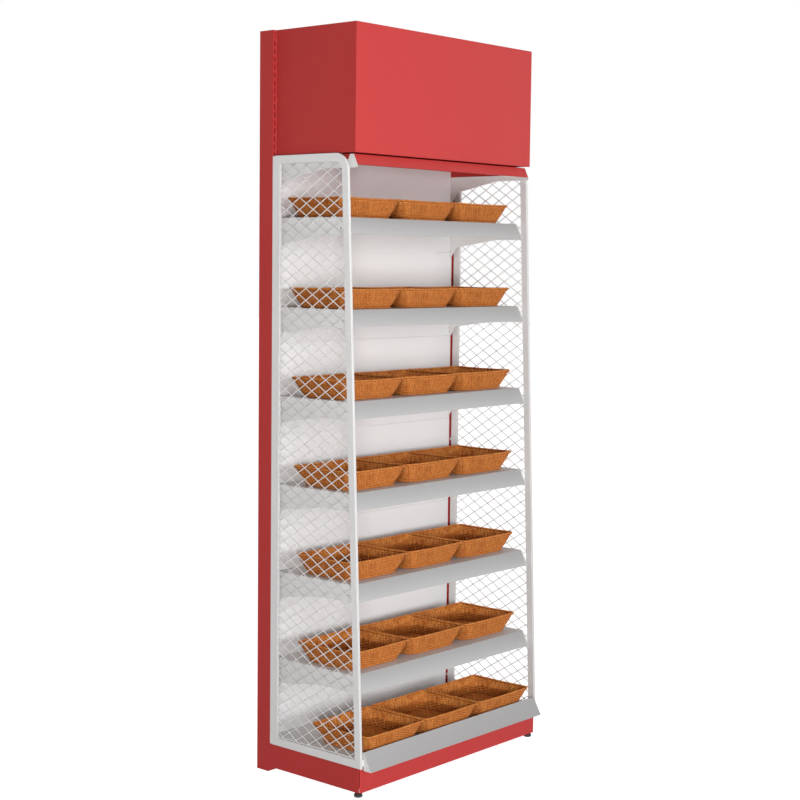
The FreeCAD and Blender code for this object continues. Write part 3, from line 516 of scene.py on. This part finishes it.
def add_border(weave):
    """The twisted border along the rim, with a lighter tone for every ply."""
    rim = wall_ring(BASKET_HIGH)
    for ply in range(BORDER_PLIES):
        path = []
        for i, (point, out) in enumerate(rim):
            a = 2 * math.pi * (i * BORDER_TURNS / len(rim) + ply / BORDER_PLIES)
            centre = (point - out * (BORDER_INSET - BORDER_OUT * math.cos(a))
                      + UP * (BORDER_RISE * math.sin(a) - BORDER_DROP))
            path.append((centre, UP, out, BORDER_WIDE, BORDER_THICK))
        weave.strand(path, sides=6, closed=True, shade=BORDER_SHADE + BORDER_STEP * ply)


def add_foot(weave):
    """The plaited row that the basket stands on."""
    foot = wall_ring(FOOT_HEIGHT)
    for ply in range(FOOT_PLIES):
        path = []
        for i, (point, out) in enumerate(foot):
            a = 2 * math.pi * (i * FOOT_TURNS / len(foot) + ply / FOOT_PLIES)
            centre = (point - out * FOOT_INSET + UP * (FOOT_RISE * math.sin(a) - FOOT_DROP)
                      + out * (FOOT_OUT * math.cos(a)))
            path.append((centre, UP, out, FOOT_WIDE, FOOT_THICK))
        weave.strand(path, sides=5, closed=True)


def floor_reach(offset, half, other):
    """Half the length of a floor strand at an offset, shortened where the corners are round."""
    over = abs(offset) - (other - FOOT_CORNER)
    if over <= 0:
        return half
    return half - FOOT_CORNER + math.sqrt(max(FOOT_CORNER ** 2 - over ** 2, 0.0))


def add_floor(weave):
    """The over-and-under floor: flat strands along X and along Y on a thin plate."""
    weave.skin([[point - out * FLOOR_PLATE_INSET + UP * lift for point, out in wall_ring(0.0)]
                for lift in FLOOR_PLATE], closed=False, shade=FLOOR_PLATE_SHADE)
    half_x = BASKET_WIDE / 2 - FLARE - FLOOR_MARGIN
    half_y = BASKET_DEEP / 2 - FLARE - FLOOR_MARGIN
    across = FLOOR_LINES
    down = int(across * half_y / half_x)
    for axis, half, other, lines, crossings in ((0, half_x, half_y, down, across),
                                                (1, half_y, half_x, across, down)):
        sideways = Vector((axis, 1 - axis, 0))
        for n in range(lines):
            offset = -other + 2 * other * (n + 0.5) / lines
            reach = floor_reach(offset, half, other)
            path = []
            for k in range(crossings * 2 + 1):
                along = max(-reach, min(reach, -half + half * k / crossings))
                swing = math.cos(math.pi * (k / 2 + 0.5) + math.pi * ((n + axis) % 2))
                height = FLOOR_HEIGHT + FLOOR_SWING * swing
                centre = Vector((offset, along, height) if axis else (along, offset, height))
                path.append((centre, sideways, UP, other / lines * FLOOR_FILL, FLOOR_THICK))
            weave.strand(path, sides=4)


def basket_mesh():
    """A stake-and-strand basket. The order of its parts sets which strand draws which tone."""
    weave = Weave()
    near_rib = steps_to_ribs()
    add_lining(weave)
    add_weavers(weave, near_rib)
    add_stakes(weave, near_rib)
    add_border(weave)
    add_foot(weave)
    add_floor(weave)
    return weave.mesh("woven_basket")


woven = basket_mesh()
woven.materials.append(CANE)
for level in range(1, 8):
    for place in ("left", "middle", "right"):
        node = f"basket_{level}_{place}"
        low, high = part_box(node)
        basket = bpy.data.objects.new(f"woven_{node}", woven)
        bpy.context.scene.collection.objects.link(basket)
        middle = (Vector(low) + Vector(high)) / 2
        basket.location = (middle.x, middle.y, low[2])
        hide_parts(node)
        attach(basket, node)


# ---------------------------------------------------------------------------- light and camera
# The camera, and what mirrors, see a white studio. The light on the rack comes from a weaker
# white world, from the floor's bounce and from the lamps.
STUDIO_LEVEL, STUDIO_GLOW = -0.0005, 0.88
STUDIO_DULL, STUDIO_PALE = tone(0.78, 0.78, 0.78), tone(0.82, 0.82, 0.82)
SEEN_RAYS = ("Is Camera Ray", "Is Glossy Ray", "Is Transmission Ray")


def show(name, data):
    """A new object that holds the data, in the scene's own collection."""
    obj = bpy.data.objects.new(name, data)
    bpy.context.scene.collection.objects.link(obj)
    return obj


def sun(name, towards, strength, angle):
    lamp = bpy.data.lights.new(name, "SUN")
    lamp.energy = strength
    lamp.angle = math.radians(angle)
    obj = show(name, lamp)
    obj.rotation_mode = "QUATERNION"
    obj.rotation_quaternion = Vector(towards).to_track_quat("-Z", "Y")


def softbox(name, location, power, radius):
    lamp = bpy.data.lights.new(name, "POINT")
    lamp.energy = power
    lamp.shadow_soft_size = radius
    show(name, lamp).location = location


def white_world(ambient):
    """Plain white where it is seen, and an even light of the strength ambient elsewhere."""
    world = bpy.data.worlds.new("studio")
    bpy.context.scene.world = world
    world.use_nodes = True
    tree = world.node_tree
    tree.nodes.clear()
    pick = tree.nodes.new("ShaderNodeMixShader")
    output = tree.nodes.new("ShaderNodeOutputWorld")
    for socket, strength in zip(pick.inputs[1:], (ambient, 1.0)):
        sky = tree.nodes.new("ShaderNodeBackground")
        sky.inputs["Color"].default_value = WHITE_LIGHT
        sky.inputs["Strength"].default_value = strength
        tree.links.new(sky.outputs["Background"], socket)
    rays = tree.nodes.new("ShaderNodeLightPath").outputs
    seen = rays[SEEN_RAYS[0]]
    for kind in SEEN_RAYS[1:]:
        either = tree.nodes.new("ShaderNodeMath")
        either.operation = "MAXIMUM"
        tree.links.new(seen, either.inputs[0])
        tree.links.new(rays[kind], either.inputs[1])
        seen = either.outputs["Value"]
    tree.links.new(seen, pick.inputs["Fac"])
    tree.links.new(pick.outputs["Shader"], output.inputs["Surface"])


def pale_floor(reach):
    """A white studio floor that keeps a faint shadow of the rack."""
    s = Shader("studio_floor")
    s.set(Base_Color=s.mix(s.noise(3.0), STUDIO_DULL, STUDIO_PALE), Roughness=0.9,
          Specular_IOR_Level=0.0)
    rays = s.add("ShaderNodeLightPath").outputs
    seen = s.math("MAXIMUM", rays["Is Camera Ray"], rays["Is Glossy Ray"])
    s.set(Emission_Color=WHITE_LIGHT, Emission_Strength=s.math("MULTIPLY", seen, STUDIO_GLOW))
    data = bpy.data.meshes.new("floor")
    corners = ((-1, -1), (1, -1), (1, 1), (-1, 1))
    data.from_pydata([(x * reach, y * reach, STUDIO_LEVEL) for x, y in corners], [],
                     [(0, 1, 2, 3)])
    data.materials.append(s.material)
    obj = show("studio_floor", data)
    obj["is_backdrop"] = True


def place_camera(location, yaw, pitch, roll, lens):
    """A camera that looks back along a direction given by yaw and pitch, rolled about its axis.

    The angles are in degrees and the lens in millimetres on a 36 mm sensor."""
    a, e, r = (math.radians(v) for v in (yaw, pitch, roll))
    back = Vector((math.sin(a) * math.cos(e), -math.cos(a) * math.cos(e), math.sin(e)))
    right = (-back).cross(UP).normalized()
    up = right.cross(-back)
    x = right * math.cos(r) + up * math.sin(r)
    y = up * math.cos(r) - right * math.sin(r)
    data = bpy.data.cameras.new("camera")
    data.sensor_width, data.sensor_fit, data.lens = 36.0, "HORIZONTAL", lens
    data.clip_start, data.clip_end = 0.1, 60.0
    camera = show("camera", data)
    camera.matrix_world = Matrix((x, y, back)).transposed().to_4x4()
    camera.location = location
    bpy.context.scene.camera = camera


pale_floor(30.0)
white_world(0.23)
sun("key", towards=(-0.07, 1.0, -0.035), strength=1.56, angle=29.0)
sun("side", towards=(-1.0, 0.12, -0.06), strength=0.80, angle=30.0)
sun("rear", towards=(0.05, -1.0, -0.06), strength=1.10, angle=30.0)
softbox("fill", location=(-4.10, -3.50, 1.10), power=500.0, radius=0.5)
place_camera((-4.10228, -3.51999, 1.67575), yaw=-49.0557, pitch=4.9096, roll=0.6716, lens=72.656)
bpy.context.scene.view_settings.view_transform = "Standard"

low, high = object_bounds()
